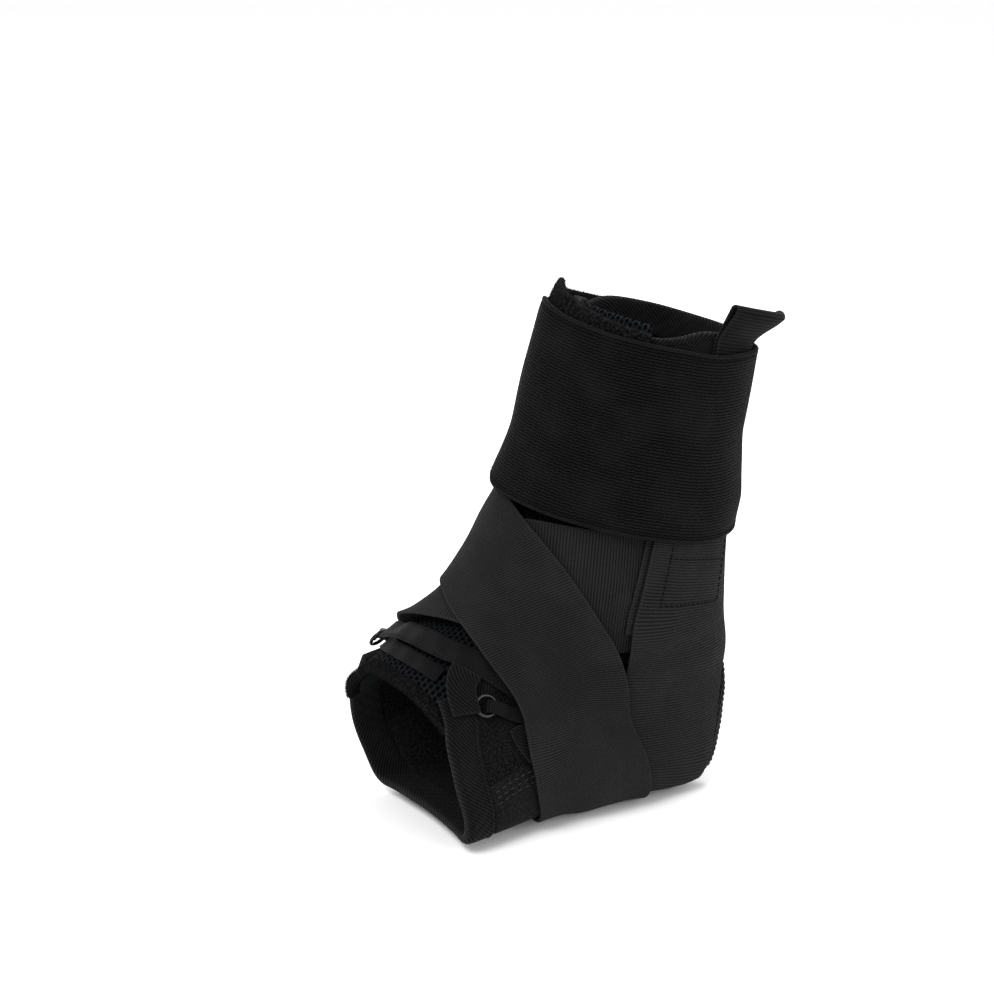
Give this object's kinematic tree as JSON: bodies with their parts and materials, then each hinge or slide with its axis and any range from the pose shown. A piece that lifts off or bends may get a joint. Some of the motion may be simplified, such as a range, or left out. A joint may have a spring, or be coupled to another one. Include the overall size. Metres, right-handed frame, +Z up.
{
  "type": "ankle brace",
  "caption": "Left ankle brace: plush shell open at toes and heel, laced mesh tongue, two crossed wrap straps and an elastic cuff over a folded tab.",
  "frame": {"origin": "on the floor, under the middle of the sole strap, on the shell's centre plane", "axes": "+Z up the leg, -Y to the toes, +X to the lateral side of a left foot"},
  "size_m": [0.1017, 0.1755, 0.2139],
  "materials": {
    "plush": "brushed knit laminate, matt",
    "mesh": "open spacer mesh",
    "twill": "twill tape",
    "webbing": "fine ribbed webbing, slight sheen",
    "elastic": "ribbed elastic",
    "satin": "smooth woven tape, satin",
    "hook": "hook tape, matt",
    "enamel": "gloss black"
  },
  "bodies": {
    "root": {"side_panel_lateral": "plush", "side_panel_medial": "plush", "achilles_panel": "elastic", "sole_sling": "elastic", "toe_binding": "twill", "top_binding": "twill", "heel_binding": "twill", "lacing_binding_lateral": "twill", "lacing_binding_medial": "twill", "tongue": "mesh", "tongue_edge": "plush", "lace_return": "satin", "lace_tape": "satin", "binding_end": "twill", "lace_stay": "twill", "lace_ring_lateral": "enamel", "ring_keeper_lateral": "satin", "lace_ring_medial": "enamel", "ring_keeper_medial": "satin", "hook_strip_lateral": "hook", "inner_strap": "webbing", "hook_strip_medial": "hook", "outer_strap": "webbing", "pull_tab": "webbing", "underwrap": "plush", "cuff": "elastic"}
  },
  "joints": []
}
